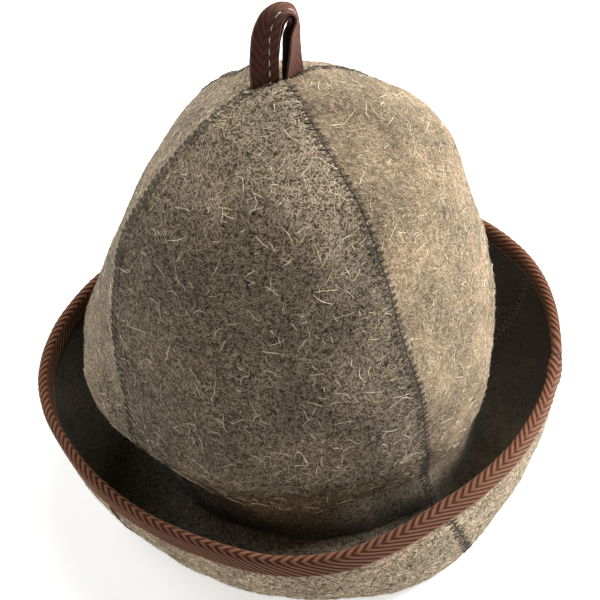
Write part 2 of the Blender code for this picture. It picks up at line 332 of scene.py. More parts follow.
def felt_at(turn, place, offset):
    """Points at an offset outwards from the felt's middle, never under the surface it stands on."""
    turn, place = np.broadcast_arrays(np.asarray(turn, float), np.asarray(place, float))
    middle = felt_middle(turn, place)
    points = middle + felt_normal(turn, place) * (offset + felt_waves(middle, place))[..., None]
    points[..., 2] = np.maximum(points[..., 2], 0.0)
    return points + (CENTRE_RIGHT, CENTRE_BACK, 0)


def lengths(points):
    """How far along a line of points each one lies."""
    steps = np.linalg.norm(np.diff(points, axis=0), axis=-1)
    return np.concatenate(([0.0], np.cumsum(steps)))


fine_places = np.linspace(0, 3, 1501)


def felt_places(rows):
    """Rows at even distances from the tip to the rim, down the middle of the front gore."""
    run = lengths(felt_middle(0.5, fine_places))
    return np.interp(np.linspace(0, run[-1], rows + 1), run, fine_places)


def on_seam(seam, run, aside, offset):
    """Points beside a seam: how far down it, how far to its right, and how far off the felt's middle."""
    step, narrowest = 0.03, 8.0
    place = np.interp(run, lengths(felt_middle(float(seam), fine_places)), fine_places)
    across = felt_middle(seam + step, place) - felt_middle(seam - step, place)
    width = np.linalg.norm(across, axis=-1) / (2 * step)
    return felt_at(seam + aside / np.maximum(width, narrowest), place, offset)


# Mesh helpers

def finished(mesh, name):
    """A bmesh turned into mesh data."""
    data = bpy.data.meshes.new(name)
    mesh.to_mesh(data)
    mesh.free()
    return data


def placed(data, material):
    """An object made from mesh data, with its material."""
    thing = bpy.data.objects.new(data.name, data)
    bpy.context.collection.objects.link(thing)
    data.materials.append(material)
    return thing


def new_piece(data, material, *nodes, slot):
    """Makes one piece from mesh data, with its material and the nodes that it replaces. Its slot is not
    used.
    """
    data.shade_smooth()
    piece = placed(data, material)
    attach(piece, "root")
    if nodes:
        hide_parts(*nodes)
    return piece


def slab(columns, rows):
    """A flat slab, one unit each way, with its two broad faces gridded."""
    mesh = bmesh.new()
    bmesh.ops.create_grid(mesh, x_segments=columns, y_segments=rows, size=0.5)
    lower = bmesh.ops.extrude_face_region(mesh, geom=mesh.faces[:], use_keep_orig=True)
    moved = [item for item in lower["geom"] if isinstance(item, bmesh.types.BMVert)]
    bmesh.ops.translate(mesh, verts=moved, vec=(0, 0, -1))
    bmesh.ops.recalc_face_normals(mesh, faces=mesh.faces[:])
    return mesh


def flat_numbers(data, columns, rows):
    """The column, the row and the depth of each corner of a gridded flat mesh."""
    flat = np.empty(len(data.vertices) * 3)
    data.vertices.foreach_get("co", flat)
    flat = flat.reshape(-1, 3)
    column = np.rint((flat[:, 0] + 0.5) * columns).astype(int)
    row = np.rint((0.5 - flat[:, 1]) * rows).astype(int)
    return column, row, (flat[:, 2] < -0.5).astype(int)


def lay_cloth_map(data, along_and_across):
    """Gives a mesh the map that its cloth pattern follows, in metres, from one pair a corner."""
    corner = np.empty(len(data.loops), int)
    data.loops.foreach_get("vertex_index", corner)
    layer = data.uv_layers.new(name="cloth")
    layer.data.foreach_set("uv", (along_and_across[corner] * MM).astype(np.float32).ravel())


def lay_mask(data, name, values):
    """Gives a mesh a value a corner, for its material."""
    layer = data.attributes.new(name, "FLOAT", "POINT")
    layer.data.foreach_set("value", values.astype(np.float32))


def strands(name, lines, radii, sides=3):
    """The mesh data of many thin round strands, each a line of points with a radius at every point."""
    count, points = lines.shape[:2]
    along = unit(np.gradient(lines, axis=1))
    helper = np.where(np.abs(along[..., 2:]) > 0.9, (1.0, 0, 0), (0, 0, 1.0))
    aside = unit(np.cross(along, helper))
    above = np.cross(aside, along)
    angle = (np.arange(sides) * 2 * pi / sides)[:, None]
    ring = (aside[:, :, None] * np.cos(angle) + above[:, :, None] * np.sin(angle)) * radii[:, :, None, None]
    corners = (lines[:, :, None] + ring).reshape(-1, 3) * MM
    start = (np.arange(count * points).reshape(count, points) * sides)[:, :-1, None]
    here, after = np.arange(sides), (np.arange(sides) + 1) % sides
    walls = np.stack([start + here, start + here + sides, start + after + sides, start + after], axis=-1)
    first = np.arange(count)[:, None] * points * sides
    caps = np.concatenate([first + here, first + (points - 1) * sides + here[::-1]])
    data = bpy.data.meshes.new(name)
    data.from_pydata(corners, [], walls.reshape(-1, 4).tolist() + caps.tolist())
    return data


# Materials

def fill(tree, made, inputs):
    """Fills or joins a node's inputs."""
    for name, value in dict(inputs).items():
        if isinstance(value, bpy.types.NodeSocket):
            tree.links.new(value, made.inputs[name])
        else:
            made.inputs[name].default_value = value
    return made


def node(tree, kind, inputs=(), **options):
    """Adds a shader node, sets its options, and fills or joins its inputs."""
    made = tree.nodes.new("ShaderNode" + kind)
    for option, value in options.items():
        setattr(made, option, value)
    return fill(tree, made, inputs)


def math(tree, operation, *values, clamp=False):
    """The result of a math node."""
    return node(tree, "Math", enumerate(values), operation=operation, use_clamp=clamp).outputs[0]


def between(tree, value, low, high):
    """0 below the low value, 1 above the high one, and a smooth step between."""
    return node(tree, "MapRange", {"Value": value, "From Min": low, "From Max": high},
                interpolation_type="SMOOTHSTEP").outputs[0]


def blend(tree, factor, first, second, kind="MIX"):
    """Two colours mixed by a factor."""
    made = tree.nodes.new("ShaderNodeMix")
    made.data_type, made.blend_type = "RGBA", kind
    return fill(tree, made, {0: factor, 6: first, 7: second}).outputs[2]


def noise(tree, vector, scale, detail=2.0, roughness=0.5, distortion=0.0, out=0):
    """A noise texture's value, or its colour."""
    return node(tree, "TexNoise", {"Vector": vector, "Scale": scale, "Detail": detail,
                                   "Roughness": roughness, "Distortion": distortion}).outputs[out]


def new_group(name, inputs, outputs):
    """An empty node group with named sockets, with its two end nodes."""
    group = bpy.data.node_groups.new(name, "ShaderNodeTree")
    for socket, kind in inputs.items():
        group.interface.new_socket(socket, in_out="INPUT", socket_type="NodeSocket" + kind)
    for socket, kind in outputs.items():
        group.interface.new_socket(socket, in_out="OUTPUT", socket_type="NodeSocket" + kind)
    return group, group.nodes.new("NodeGroupInput"), group.nodes.new("NodeGroupOutput")


def felted_wool():
    """Short curved fibres that lie every way over each other, with lighter and darker tufts."""
    group, given, result = new_group(
        "felted wool", {"Surface": "Vector", "Body": "Vector", "Fibre Scale": "Float"},
        {"Fibres": "Float", "Hollows": "Float", "Tufts": "Float", "Patches": "Float", "Height": "Float"})
    surface, body = given.outputs["Surface"], given.outputs["Body"]
    bends, bend_reach, directions, stretch = 110.0, 0.0035, 6, 6.0
    bend_by = node(group, "VectorMath", {0: noise(group, surface, bends, 1.0, out=1), 1: (0.5, 0.5, 0.5)},
                   operation="SUBTRACT").outputs[0]
    bent = node(group, "VectorMath", {0: bend_by, 1: (bend_reach,) * 3, 2: surface},
                operation="MULTIPLY_ADD").outputs[0]
    fibres = hollows = 0.0
    for number in range(directions):
        lain = node(group, "Mapping", {
            "Vector": bent, "Location": (0.31 * number, 0.17 * number, 0.0),
            "Rotation": (0, 0, radians(180 / directions * number + 11)), "Scale": (stretch, 1.0, 1.0)},
                    vector_type="TEXTURE").outputs[0]
        grain = node(group, "TexNoise", {"Vector": lain, "Scale": given.outputs["Fibre Scale"],
                                         "Detail": 1.0, "Roughness": 0.6},
                     noise_dimensions="2D").outputs[0]
        fibres = math(group, "MAXIMUM", fibres, between(group, grain, 0.60, 0.72))
        hollows = math(group, "MAXIMUM", hollows, between(group, grain, 0.38, 0.28))
    tufts = noise(group, body, 330.0, 3.0, 0.7)
    patches = noise(group, body, 42.0, 3.0, 0.6, 0.6)
    height = math(group, "MULTIPLY_ADD", tufts, 0.9, math(group, "SUBTRACT", fibres, hollows))
    for name, value in (("Fibres", fibres), ("Hollows", hollows), ("Tufts", tufts), ("Patches", patches),
                        ("Height", height)):
        group.links.new(value, result.inputs[name])
    return group


def twill_yarn():
    """Ribs of spun yarn that meet in a herringbone along the tape's middle."""
    group, given, result = new_group(
        "twill yarn", {"Surface": "Vector"}, {"Rib": "Float", "Yarn": "Float", "Wear": "Float"})
    split = node(group, "SeparateXYZ", {0: given.outputs["Surface"]})
    along, across = split.outputs[0], split.outputs[1]
    shifted = math(group, "MULTIPLY_ADD", math(group, "ABSOLUTE", across), -RIB_SLOPE, along)
    turn = math(group, "MULTIPLY", shifted, 2 * pi / (RIB_PITCH * MM))
    rib = math(group, "MULTIPLY_ADD", math(group, "COSINE", turn), -0.5, 0.5)
    twist = math(group, "MULTIPLY_ADD", across, 2 * pi / (YARN_TWIST * MM), turn)
    yarn = math(group, "MULTIPLY_ADD", math(group, "SINE", twist), 0.5, 0.5)
    wear = noise(group, given.outputs["Surface"], 260.0, 4.0, 0.7)
    for name, value in (("Rib", rib), ("Yarn", yarn), ("Wear", wear)):
        group.links.new(value, result.inputs[name])
    return group


def new_material(name, **sockets):
    """A material and its Principled shader, with its constant sockets set."""
    material = bpy.data.materials.new(name)
    material.use_nodes = True
    shader = material.node_tree.nodes["Principled BSDF"]
    for socket, value in sockets.items():
        shader.inputs[socket.replace("_", " ").title().replace("Ior", "IOR")].default_value = value
    return material, material.node_tree, shader


def place_group(tree, group, inputs):
    """Places a node group in a material."""
    made = tree.nodes.new("ShaderNodeGroup")
    made.node_tree = group
    return fill(tree, made, inputs).outputs


wool_group = felted_wool()
yarn_group = twill_yarn()

WOOL_HOLLOW = (0.037, 0.0243, 0.0118, 1)
WOOL_DARK = (0.087, 0.058, 0.0295, 1)
WOOL_MIDDLE = (0.375, 0.267, 0.152, 1)
WOOL_LIGHT = (0.87, 0.70, 0.495, 1)
WOOL_WARM = (0.37, 0.243, 0.138, 1)
WOOL_JOINT = (0.03, 0.024, 0.018, 1)
# Tape: the dark colour in the grooves is painted shade, the light one on the rib tops partly wear and
# partly painted highlight
TAPE_DARK = (0.032, 0.011, 0.005, 1)
TAPE_MIDDLE = (0.092, 0.032, 0.017, 1)
TAPE_LIGHT = (0.32, 0.155, 0.088, 1)
# The loop's colours are the binding tape's painted darker: painted shade, as the loop lies in shade
SHADED_LOOP_DARK = (0.046, 0.018, 0.013, 1)
SHADED_LOOP_MIDDLE = (0.054, 0.020, 0.015, 1)
SHADED_LOOP_LIGHT = (0.19, 0.078, 0.048, 1)


def shaded(tree, colour, patch=1.0):
    """A colour times the tone that its mesh carries, which holds painted shade and painted light, and times
    that of a patch.
    """
    shade = math(tree, "MULTIPLY", node(tree, "Attribute", attribute_name="shade").outputs["Fac"], patch)
    grey = node(tree, "CombineColor", {0: shade, 1: shade, 2: shade}).outputs[0]
    return blend(tree, 1.0, colour, grey, "MULTIPLY")


def wool_material():
    """Grey-brown felted wool, darker along the joints where the stitches pull it in."""
    material, tree, shader = new_material("felted_wool", roughness=0.95, sheen_weight=0.06,
                                          sheen_roughness=0.6, specular_ior_level=0.12)
    surface = node(tree, "UVMap", uv_map="cloth").outputs[0]
    body = node(tree, "TexCoord").outputs["Object"]
    seam = node(tree, "Attribute", attribute_name="seam_distance").outputs["Fac"]
    wool = place_group(tree, wool_group, {"Surface": surface, "Body": body, "Fibre Scale": 1700.0})
    tone = between(tree, wool["Tufts"], 0.36, 0.60)
    grain = node(tree, "Attribute", attribute_name="grain").outputs["Fac"]
    tone = math(tree, "MULTIPLY_ADD", math(tree, "SUBTRACT", tone, 0.5), grain, 0.5, clamp=True)
    colour = blend(tree, tone, WOOL_DARK, WOOL_MIDDLE)
    patches = between(tree, wool["Patches"], 0.38, 0.66)
    colour = blend(tree, math(tree, "MULTIPLY", patches, 0.5), colour, WOOL_WARM)
    hollows = math(tree, "MULTIPLY", wool["Hollows"], grain)
    fibres = math(tree, "MULTIPLY", wool["Fibres"], grain)
    colour = blend(tree, math(tree, "MULTIPLY", hollows, 0.42, clamp=True), colour, WOOL_HOLLOW)
    colour = blend(tree, math(tree, "MULTIPLY", fibres, 0.66, clamp=True), colour, WOOL_LIGHT)
    joint = math(tree, "SUBTRACT", 1.0, between(tree, seam, 0.15, 0.7))
    colour = blend(tree, math(tree, "MULTIPLY", joint, 0.45), colour, WOOL_JOINT)
    # painted shade and painted light from the mesh's tone, times random patches
    colour = shaded(tree, colour, math(tree, "MULTIPLY_ADD", patches, 0.32, 0.84))
    tree.links.new(colour, shader.inputs["Base Color"])
    bump = node(tree, "Bump", {"Height": wool["Height"], "Distance": 0.00022, "Strength": 1.0})
    tree.links.new(bump.outputs[0], shader.inputs["Normal"])
    return material


def tape_material(name, dark, middle, light, wear_and_highlight):
    """Reddish-brown twill tape: rib tops paler with wear and painted highlight, grooves dark with painted
    shade.
    """
    material, tree, shader = new_material(name, roughness=0.75, sheen_weight=0.25, sheen_roughness=0.4,
                                          sheen_tint=(1.0, 0.58, 0.38, 1), specular_ior_level=0.1)
    surface = node(tree, "UVMap", uv_map="cloth").outputs[0]
    yarn = place_group(tree, yarn_group, {"Surface": surface})
    top = math(tree, "MULTIPLY", between(tree, yarn["Rib"], 0.25, 0.95),
               math(tree, "MULTIPLY_ADD", yarn["Wear"], 1.4, 0.1))
    colour = blend(tree, between(tree, yarn["Rib"], 0.0, 0.6), dark, middle)
    colour = blend(tree, math(tree, "MULTIPLY", top, wear_and_highlight), colour, light)
    tree.links.new(shaded(tree, colour), shader.inputs["Base Color"])
    height = math(tree, "MULTIPLY_ADD", yarn["Yarn"], 0.35, yarn["Wear"])
    bump = node(tree, "Bump", {"Height": height, "Distance": 0.00018, "Strength": 0.8})
    tree.links.new(bump.outputs[0], shader.inputs["Normal"])
    return material


def thread_material(name, colour, roughness=0.8, painted_glow=0.0):
    """Spun thread or hair, lighter and darker along its length. The glow is painted light, a shine of its
    own.
    """
    material, tree, shader = new_material(name, roughness=roughness,
                                          emission_color=(*colour, 1), emission_strength=painted_glow)
    body = node(tree, "TexCoord").outputs["Object"]
    tone = between(tree, noise(tree, body, 700.0, 2.0), 0.3, 0.7)
    darker = (*(value * 0.55 for value in colour), 1)
    tree.links.new(blend(tree, tone, darker, (*colour, 1)), shader.inputs["Base Color"])
    return material


wool = wool_material()
twill = tape_material("twill_tape", TAPE_DARK, TAPE_MIDDLE, TAPE_LIGHT, 0.40)
shaded_loop_twill = tape_material("shaded_loop_tape", SHADED_LOOP_DARK, SHADED_LOOP_MIDDLE, SHADED_LOOP_LIGHT, 0.22)
lap_dark_line = thread_material("lap_dark_line", (0.022, 0.010, 0.008))
seam_thread = thread_material("seam_thread", (0.072, 0.055, 0.040))
white_thread = thread_material("white_thread", (0.86, 0.84, 0.80))
# the pale hairs glow a little: painted light
pale_hair = thread_material("pale_guard_hair", (1.0, 0.88, 0.64), 0.5, 0.2)
light_fuzz = thread_material("light_wool_fuzz", (0.545, 0.443, 0.316), 0.9)
dark_fuzz = thread_material("dark_wool_fuzz", (0.085, 0.062, 0.038), 0.9)


# Felt gores

def felt_tone(gore, height, heading, places):
    """What one gore keeps of the wool's colour, over the crown and down into the gap: its tone, partly
    painted shade, with a band of painted light low on the crown and painted shade in the gap.
    """
    deep = np.clip((GAP_TOP - height) / (GAP_TOP - GAP_FULL), 0, 1)
    deep = np.where(places > 1, 1.0, ease(deep))
    front = (0.5 + 0.5 * np.cos(heading - GAP_FRONT)) ** GAP_FOCUS
    kept = GAP_DARKEST + (GAP_SHADE - GAP_DARKEST) * front
    low = np.exp(-((height - LIT_WALL_AT) / LIT_WALL_REACH) ** 2)
    high = np.clip((height - SHADY_UP_TO) / (CROWN[0].height - SHADY_UP_TO), 0, 1)
    own = gore.tone + (TIP_TONE - gore.tone) * ease(high)
    tone = np.where(places < 1, own + (LIT_WALL_TONE - own) * low, 1.0)
    return tone * (1 - (1 - kept) * deep)


def felt_gore(number):
    """One gore with its share of the brim, as thick as the real felt and pinched along its seams."""
    gore = GORES[number]
    places = felt_places(FELT_ROWS)[:, None]
    even = np.linspace(0, 1, FELT_COLUMNS + 1)
    share = even - EDGE_CROWDING * np.sin(2 * pi * even) / (2 * pi)
    left_seam, right_seam = felt_middle(float(number), places), felt_middle(float(number + 1), places)
    width = np.linalg.norm(right_seam - left_seam, axis=-1)

    def clearance(seam, line):
        """Half the gap at a seam, as a share of the gore's width there."""
        half_angle = radians(float(seam_heading(number + 1, 1.0) - seam_heading(number, 1.0))) / 2
        from_tip = np.linalg.norm(line - line[:1], axis=-1)
        leg = (np.clip((from_tip - LEG_FROM) / LEG_EASE + 0.5, 0, 1)
               * np.clip((LEG_TO - from_tip) / LEG_EASE + 0.5, 0, 1) * of_gore(seam, "holds_loop"))
        gap = SEAM_GAP + (LEG_GAP / cos(half_angle) - SEAM_GAP) * leg
        return np.minimum(gap / 2 / np.maximum(width, gap), WIDEST_GAP)

    left, right = clearance(number, left_seam), clearance(number + 1, right_seam)
    turn = number + left + (1 - left - right) * share
    middle = felt_middle(turn, places)
    near = np.where(share < 0.5, number, number + 1)
    seam_line = np.where((share < 0.5)[:, None], left_seam, right_seam)
    aside = np.linalg.norm(middle - seam_line, axis=-1)
    pinch = 1 - EDGE_PINCH * np.exp(-(aside / EDGE_REACH) ** 2)
    run = lengths(left_seam[:, 0])[:, None]
    stitched = 0.5 + 0.5 * np.cos(pi * run / ZIGZAG_STEP + pi * (share < 0.5))
    hole = np.exp(-((aside - ZIGZAG_HALF) / HOLE_REACH) ** 2) * stitched
    half = FELT_THICKNESS / 2 * pinch - HOLE_DEPTH * hole
    own, shared = felt_normal(turn, places), felt_normal(near * np.ones_like(turn), places)
    weight = np.exp(-(aside / SHARED_REACH) ** 2)[..., None]
    normal = unit(own * (1 - weight) + shared * weight)
    wave = felt_waves(middle, places)
    faces = []
    for side in (1, -1):
        points = middle + normal * (wave + side * half)[..., None]
        points[..., 2] = np.maximum(points[..., 2], 0.0)
        faces.append((points + (CENTRE_RIGHT, CENTRE_BACK, 0)) * MM)
    across = np.cumsum(np.linalg.norm(np.diff(middle, axis=1, prepend=middle[:, :1]), axis=-1), axis=1)
    across -= across[:, FELT_COLUMNS // 2, None]
    down = np.broadcast_to(lengths(middle[:, FELT_COLUMNS // 2])[:, None], across.shape)

    data = finished(slab(FELT_COLUMNS, FELT_ROWS), "felt_" + gore.name)
    column, row, back = flat_numbers(data, FELT_COLUMNS, FELT_ROWS)
    data.vertices.foreach_set("co", np.stack(faces)[back, row, column].ravel())
    patch = 2 * CLOTH_SPACING * number
    lay_cloth_map(data, np.stack([across[row, column] + patch + CLOTH_SPACING * back,
                                  down[row, column]], axis=-1))
    lay_mask(data, "seam_distance", aside[row, column])
    # painted shade and painted light: each gore's tone, the gap's shade and the lit band low on the crown
    tone = felt_tone(gore, middle[..., 2], heading_round(turn, np.zeros_like(turn)), places)
    lay_mask(data, "shade", np.where(back == 0, tone[row, column], BACK_TONE))
    lay_mask(data, "grain", np.where(back == 0, gore.grain, BACK_GRAIN))
    piece = new_piece(data, wool, "panel_" + gore.name, slot="felt")
    return piece


gores = [felt_gore(number) for number in range(len(GORES))]


# Binding and loop, both of the same tape

def tape_channel(name, steps, outer, inner, place_at, closed):
    """A tape folded along its length: a grid of outer and inner corners, wrapped into a channel."""
    section = len(outer) + len(inner)
    mesh = bmesh.new()
    bmesh.ops.create_grid(mesh, x_segments=steps, y_segments=section, size=0.5)
    data = finished(mesh, "flat_tape")
    column, row, _ = flat_numbers(data, steps, section)
    corner = row % section
    table = np.array(outer + inner, float)
    points, cloth, shade = place_at(column, table[corner, 0], table[corner, 1], steps)
    data.vertices.foreach_set("co", (points * MM).ravel())
    lay_cloth_map(data, cloth)
    lay_mask(data, "shade", shade)
    mesh = bmesh.new()
    mesh.from_mesh(data)
    bpy.data.meshes.remove(data)
    bmesh.ops.remove_doubles(mesh, verts=mesh.verts[:], dist=1e-7)
    if not closed:
        bmesh.ops.holes_fill(mesh, edges=[edge for edge in mesh.edges if edge.is_boundary])
    bmesh.ops.recalc_face_normals(mesh, faces=mesh.faces[:])
    return finished(mesh, name)


def rib_relief(phase):
    """The height of a twill rib, from its groove to its round top."""
    return RIB_HEIGHT * (1 - np.abs(2 * (phase % 1) - 1) ** 2.2)


rim_turns = np.linspace(0, 4, 1201)
rim_runs = lengths(felt_middle(rim_turns, 3.0))
RIM_LENGTH = rim_runs[-1]
EDGE_HALF = FELT_THICKNESS / 2 + 0.05
BINDING_HALF = TAPE_DEPTH + FELT_THICKNESS / 2 + 0.6  # the tape's half width, flat


def rim_heading(turn):
    """The headings of places along the rim."""
    return heading_round(turn, -np.ones_like(turn))


def spine_shift(turn):
    """How far the tape's middle sits from the felt's edge, towards the outside of the brim."""
    heading = rim_heading(turn)
    past_lap = (heading - LAP_HEADING) % (2 * pi)
    softness = 2.0
    risen = 1 / (1 + np.exp(-(past_lap * RIM_RADIUS - LAP_EASE) / softness))
    drift = LAP_DRIFT * risen * np.exp(-past_lap / LAP_DRIFT_FADE)
    return SPINE_MIDDLE + SPINE_SWAY * np.cos(heading - SPINE_HEADING) + drift


def lap_lift(turn):
    """How far the tape's folded end lifts it, over the last stretch before the lap."""
    before_lap = (LAP_HEADING - rim_heading(turn)) % (2 * pi) * RIM_RADIUS
    return LAP_LIFT * np.clip((LAP_REACH - before_lap) / LAP_EASE, 0, 1)


def over_edge(turn, across, height):
    """Points over the felt's cut edge at a height above it. Across runs from the gap to the outside."""
    reach = EDGE_HALF + height
    depth = np.maximum(np.abs(across) - pi / 2 * EDGE_HALF, 0.0)
    angle = np.clip(across / EDGE_HALF, -pi / 2, pi / 2)
    share = 1 / (3 * LIP_REACH)
    place = 3 - depth * share + np.cos(angle) * reach * share - TAPE_SEAT * share
    return felt_at(turn, place, -np.sin(angle) * reach)


def tape_width(across):
    """How far across the tape's own face a place lies, which is longer round the edge than the felt's."""
    return across + np.clip(across, -pi / 2 * EDGE_HALF, pi / 2 * EDGE_HALF) * TAPE_THICKNESS / EDGE_HALF


def binding_place(column, across, lift, steps):
    """Where the binding's corners go: across is measured over the edge, from the gap to the outside."""
    rib = RIM_LENGTH / round(RIM_LENGTH / RIB_PITCH)
    turn = np.interp(column / steps * RIM_LENGTH, rim_runs, rim_turns)
    away = tape_width(across) - tape_width(spine_shift(turn))
    run = column / steps * RIM_LENGTH + RIB_SLOPE * np.abs(away) * rib / RIB_PITCH
    turn = np.interp(run % RIM_LENGTH, rim_runs, rim_turns)
    ribs = rib_relief(column / steps * RIM_LENGTH / rib) - RIB_HEIGHT * RIB_SUNK
    relief = np.where(lift > 0, ribs, 0.0)
    points = over_edge(turn, across, lift * (TAPE_THICKNESS + lap_lift(turn)) + relief)
    edge, fading, shaded_by = 1.5, 4.0, 0.72  # painted shade: the tape darkens towards the gap
    shade = 1 - shaded_by * np.clip((-across - edge) / fading, 0, 1)
    return points, np.stack([run * RIB_PITCH / rib, away], axis=-1), shade


def make_binding():
    """The tape round the whole rim."""
    steps = round(RIM_LENGTH / RIB_PITCH) * RIB_STEPS
    across = np.linspace(-BINDING_HALF, BINDING_HALF, 23)
    outer = [(value, 1.0) for value in across]
    inner = [(value, 0.0) for value in (BINDING_HALF, 4.0, 0.0, -4.0, -BINDING_HALF)]
    data = tape_channel("tape_binding", steps, outer, inner, binding_place, True)
    piece = new_piece(data, twill, "edge_binding", slot="twill_tape")


def loop_frame(position):
    """The loop's middle, its way along, its way across towards the open edge, and its outward way."""
    here = smooth(LOOP, position)
    ahead, behind = smooth(LOOP, position + 0.02), smooth(LOOP, np.maximum(position - 0.02, 0.0))
    middle = np.stack([here.right, here.back, here.height], axis=-1)
    along = unit(np.stack([ahead.right - behind.right, ahead.back - behind.back,
                           ahead.height - behind.height], axis=-1))
    turn = np.radians(here.turn)
    across = np.stack([np.cos(turn), np.sin(turn), 0 * turn], axis=-1)
    across = unit(across - along * np.sum(along * across, axis=-1, keepdims=True))
    return middle, along, across, np.cross(along, across), here.spread


loop_positions = np.linspace(0, len(LOOP) - 1, 1201)
loop_runs = lengths(loop_frame(loop_positions)[0])
LOOP_LENGTH = loop_runs[-1]
LOOP_HALF = LOOP_WIDTH - 0.4


def on_loop(run, across, lift):
    """Points of the loop. Across runs from the inner layer's open edge over the fold to the outer's."""
    middle, _, way, outward, spread = loop_frame(np.interp(run, loop_runs, loop_positions))
    radius = LOOP_THICKNESS / 2 - TAPE_THICKNESS
    side = np.sign(across)
    depth = np.maximum(np.abs(across) - radius * pi / 2, 0.0)
    angle = np.clip(across / radius, -pi / 2, pi / 2)
    reach = radius + lift
    from_fold = depth + reach * (1 - np.cos(angle)) + (TAPE_THICKNESS - lift)
    opened = (spread - LOOP_THICKNESS) / 2 * (from_fold / LOOP_WIDTH) * side
    rise = np.sin(angle) * reach + opened
    return (middle + way * (from_fold - LOOP_WIDTH / 2)[..., None] + outward * rise[..., None]
            + (CENTRE_RIGHT, CENTRE_BACK, 0))


def loop_place(column, across, lift, steps):
    """Where the loop's corners go."""
    run = np.clip(column / steps * LOOP_LENGTH, 0, LOOP_LENGTH)
    away = across - LOOP_SPINE * np.sign(across)
    phase = (run - RIB_SLOPE * np.abs(away)) / RIB_PITCH
    relief = np.where(lift > 0, (rib_relief(phase) - RIB_HEIGHT * RIB_SUNK) * LOOP_RELIEF, 0.0)
    fading, shaded_by = 5.0, 0.8  # painted shade: the outer layer darkens past the top of the loop
    shade = 1 - shaded_by * (across > 0) * np.clip((run - 0.5 * LOOP_LENGTH) / fading, 0, 1)
    return on_loop(run, across, lift * TAPE_THICKNESS + relief), np.stack([run, away], axis=-1), shade


def make_loop():
    """The hanging loop: the tape folded in two along its length, its legs in the seams at the tip."""
    across = np.concatenate([np.linspace(-LOOP_HALF, -1.0, 22), [-0.5, 0.0, 0.5],
                             np.linspace(1.0, LOOP_HALF, 22)])
    outer = [(value, 1.0) for value in across]
    inner = [(value, 0.0) for value in (LOOP_HALF, 6.0, 0.4, 0.0, -0.4, -6.0, -LOOP_HALF)]
    steps = round(LOOP_LENGTH / 0.3)
    data = tape_channel("tape_loop", steps, outer, inner, loop_place, False)
    piece = new_piece(data, shaded_loop_twill, "hanging_loop", slot="twill_tape")


make_binding()
make_loop()


# Stitches

def zigzag_seams():
    """The zigzag that joins the gores on the felt's two faces, and overcast stitches at the loop's legs."""
    dice = np.random.default_rng(21)
    lines = []
    for seam in range(len(GORES)):
        seam_line = felt_middle(float(seam), fine_places)
        length = lengths(seam_line)[-1]
        first = LEG_TO + 1.0 if GORES[seam].holds_loop else SEAM_START
        count = int((length - first - TAPE_DEPTH) / ZIGZAG_STEP)
        number = np.arange(count)
        start = first + ZIGZAG_STEP * number + dice.normal(0, STEP_SPREAD, count)
        side = np.where(number % 2 == 0, 1.0, -1.0)
        part = np.linspace(-1, 1, THREAD_POINTS)
        aside = (side[:, None] * part * ZIGZAG_HALF * dice.uniform(*WIDTH_SPREAD, (count, 1))
                 + GORES[seam].zigzag_shift + dice.normal(0, SHIFT_SPREAD, (count, 1)))
        slant = np.where(number % 2 == 0, 0.5, 1.5)[:, None] + dice.normal(0, SLANT_SPREAD, (count, 1))
        wander = dice.normal(0, WANDER, (count, THREAD_POINTS))
        run = start[:, None] + ZIGZAG_STEP * slant * part / 2 + wander
        buried = (dice.uniform(*BURIED, (count, 1))
                  + np.maximum(dice.normal(0, 0.1, (count, THREAD_POINTS)), -0.1))
        sunk = np.abs(part) ** 5 * END_DEPTH + buried + JOINT_DIP * np.exp(-(part / JOINT_DIP_HALF) ** 2)
        for face in (1, -1):
            height = FELT_THICKNESS / 2 + THREAD_RADIUS * 0.6 - sunk
            lines.append(on_seam(seam, run, aside, face * height))
        if GORES[seam].holds_loop:
            start = np.arange(2.0, LEG_TO + 1.0, ZIGZAG_STEP)[:, None]
            part = np.linspace(0, 1, THREAD_POINTS)
            height = FELT_THICKNESS / 2 + 0.15 - END_DEPTH * (2 * part - 1) ** 6
            for side in (1, -1):
                aside = side * (LEG_GAP / 2 + (ZIGZAG_HALF + 0.3 - LEG_GAP / 2) * part) + 0 * start
                run = start + 1.2 * part * dice.uniform(0.5, 1.3, start.shape)
                lines.append(on_seam(seam, run, aside, height))
    lines = np.concatenate(lines)
    lines[..., 2] = np.maximum(lines[..., 2], THREAD_RADIUS)
    radii = THREAD_RADIUS * dice.uniform(*THREAD_SPREAD, lines.shape[:2])
    new_piece(strands("seam_stitches", lines, radii, 5), seam_thread, slot="felt")


def loop_stitches():
    """The white running stitch through the folded tape of the loop."""
    starts = np.arange(RUNNING_FROM, LOOP_LENGTH - RUNNING_FROM, RUNNING_STEP)
    part = np.linspace(0, 1, 7)
    run = starts[:, None] + RUNNING_LENGTH * part
    sunk = END_DEPTH * np.abs(2 * part - 1) ** 6
    lines = []
    for face, last in ((1, 1.0), (-1, INNER_RUNNING_TO)):
        kept = run[starts < last * LOOP_LENGTH]
        across = face * np.full(kept.shape, LOOP_WIDTH * RUNNING_ASIDE)
        lines.append(on_loop(kept, across, TAPE_THICKNESS + 0.26 - sunk[None, :]))
    lines = np.concatenate(lines)
    radii = np.full(lines.shape[:2], RUNNING_RADIUS)
    new_piece(strands("loop_stitches", lines, radii, 6), white_thread, slot="twill_tape")


def lap_line():
    """A dark strand across the binding where its end lies over its start."""
    headings = rim_heading(rim_turns)
    margin, start, slant, height, radius = 0.3, 1.0, 0.8, 0.32, 0.42
    across = np.linspace(-BINDING_HALF + margin, BINDING_HALF - margin, 40)
    spine = spine_shift(np.interp(LAP_HEADING, headings, rim_turns))
    run = np.interp(LAP_HEADING, headings, rim_runs) + start - slant * np.abs(across - spine)
    line = over_edge(np.interp(run, rim_runs, rim_turns), across, TAPE_THICKNESS + height)
    radii = np.full((1, len(across)), radius)
    new_piece(strands("lap_line", line[None], radii, 6), lap_dark_line, slot="twill_tape")


zigzag_seams()
loop_stitches()
lap_line()


# Loose hairs and fuzz

